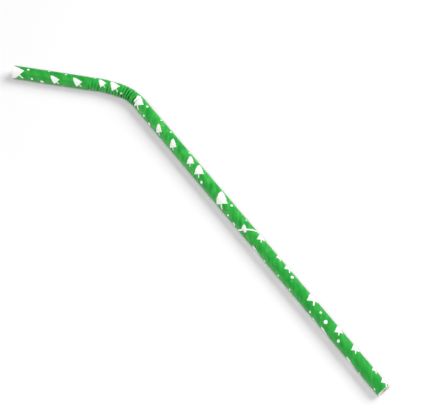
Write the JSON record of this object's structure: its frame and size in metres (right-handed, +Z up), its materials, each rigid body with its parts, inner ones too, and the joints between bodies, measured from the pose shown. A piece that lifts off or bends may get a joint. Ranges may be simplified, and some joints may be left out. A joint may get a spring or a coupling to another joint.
{
  "type": "paper drinking straw",
  "caption": "Bendable paper drinking straw: a thin round tube with a ring-crimped neck that holds a set bend between a long and a short open arm.",
  "frame": {"origin": "under the middle of the straw's box, on the plane it lies on", "axes": "+X along the long arm from the foot towards the neck, +Y towards the side the short arm bends to, +Z up"},
  "size_m": [0.2284, 0.0424, 0.006],
  "materials": {
    "printed_paper": "wound paper, outer ply printed mid green with small white fir trees and dots, faint satin; bore and cut rims bare white paper"
  },
  "bodies": {
    "root": {"straw": "printed_paper"}
  },
  "joints": []
}
